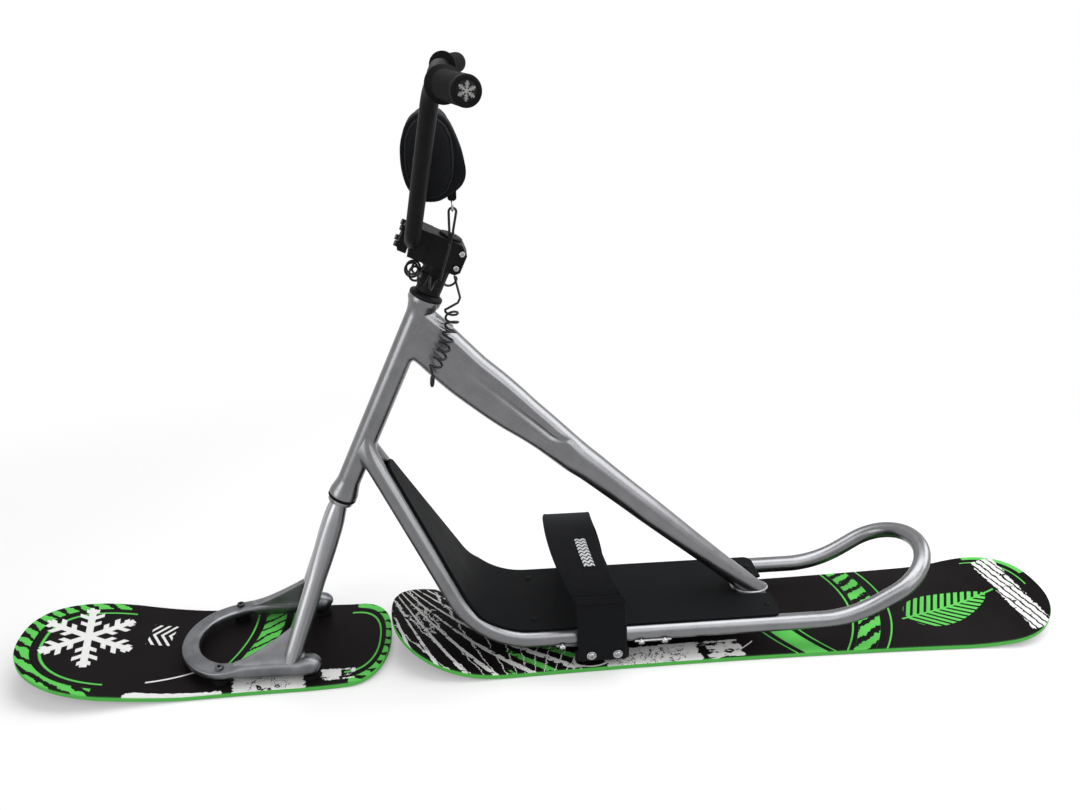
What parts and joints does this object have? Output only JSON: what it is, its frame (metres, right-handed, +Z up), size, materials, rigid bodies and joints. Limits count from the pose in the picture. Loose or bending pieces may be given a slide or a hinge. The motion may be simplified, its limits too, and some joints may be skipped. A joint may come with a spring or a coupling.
{
  "type": "snow scooter",
  "caption": "Snow scooter with a steered fork on a short board, a long board under the deck, a foot strap and a coiled leash.",
  "frame": {"origin": "on the ground, midway between the nose of the front board and the tail of the rear board, in the middle of the width", "axes": "+Z up, -X towards the nose, +X towards the tail, -Y to the rider's left"},
  "size_m": [1.7438, 0.654, 0.933],
  "materials": {
    "satin_aluminium": "brushed satin, clear lacquer",
    "cast_aluminium": "cast and tumbled satin",
    "deck_coating": "black satin coating",
    "black_metal": "black anodised",
    "bright_steel": "bright zinc plated",
    "rubber": "matte",
    "webbing": "woven black webbing",
    "padding": "black cloth over foam",
    "cord_plastic": "black coiled cord",
    "printed_board": "laminated board with a gloss print"
  },
  "bodies": {
    "frame": {"deck": "deck_coating", "deck_screw_front_left": "bright_steel", "deck_screw_front_right": "bright_steel", "deck_screw_rear_left": "bright_steel", "deck_screw_rear_right": "bright_steel", "foot_strap_left_band": "webbing", "foot_strap_right_band": "webbing", "head_tube": "satin_aluminium", "leash_coil_lower": "cord_plastic", "leash_end_sleeve": "cord_plastic", "mount_plate_front": "black_metal", "mount_plate_rear": "black_metal", "rail_bolt_left_1": "bright_steel", "rail_bolt_left_2": "bright_steel", "rail_bolt_left_3": "bright_steel", "rail_bolt_left_4": "bright_steel", "rail_bolt_right_1": "bright_steel", "rail_bolt_right_2": "bright_steel", "rail_bolt_right_3": "bright_steel", "rail_bolt_right_4": "bright_steel", "rail_tube": "satin_aluminium", "rear_board": "printed_board", "rear_damper_front_left": "rubber", "rear_damper_front_right": "rubber", "rear_damper_rear_left": "rubber", "rear_damper_rear_right": "rubber", "strap_bracket_left": "black_metal", "strap_bracket_right": "black_metal", "strap_screw_left_front": "bright_steel", "strap_screw_left_rear": "bright_steel", "strap_screw_right_front": "bright_steel", "strap_screw_right_rear": "bright_steel", "top_tube": "satin_aluminium"},
    "strap_flap": {"foot_strap_flap": "webbing"},
    "steering": {"fork": "cast_aluminium", "front_shoe": "cast_aluminium", "front_board": "printed_board", "lower_seal": "rubber", "headset_cover": "black_metal", "upper_bearing": "bright_steel", "lower_bearing": "bright_steel", "spacer": "black_metal", "stem_body": "black_metal", "stem_face_plate": "black_metal", "top_cap": "black_metal", "handlebar": "black_metal", "left_grip": "rubber", "right_grip": "rubber", "crossbar_pad": "padding", "leash_cuff": "webbing", "leash_eye": "cord_plastic", "leash_coil_upper": "cord_plastic", "front_bolt_front_left": "bright_steel", "front_bolt_front_right": "bright_steel", "front_bolt_rear_left": "bright_steel", "front_bolt_rear_right": "bright_steel", "front_damper_front_left": "rubber", "front_damper_front_right": "rubber", "front_damper_rear_left": "rubber", "front_damper_rear_right": "rubber"}
  },
  "joints": [
    {"name": "steering", "type": "hinge", "parent": "frame", "child": "steering", "pos_m": [-0.3378, 0, 0.29228], "axis": [0.4147, 0, 0.91], "range_deg": [-45, 45]},
    {"name": "strap_flap", "type": "hinge", "parent": "frame", "child": "strap_flap", "pos_m": [0.02, 0.05067, 0.20364], "axis": [-1, 0, 0], "range_deg": [0, 45]}
  ]
}
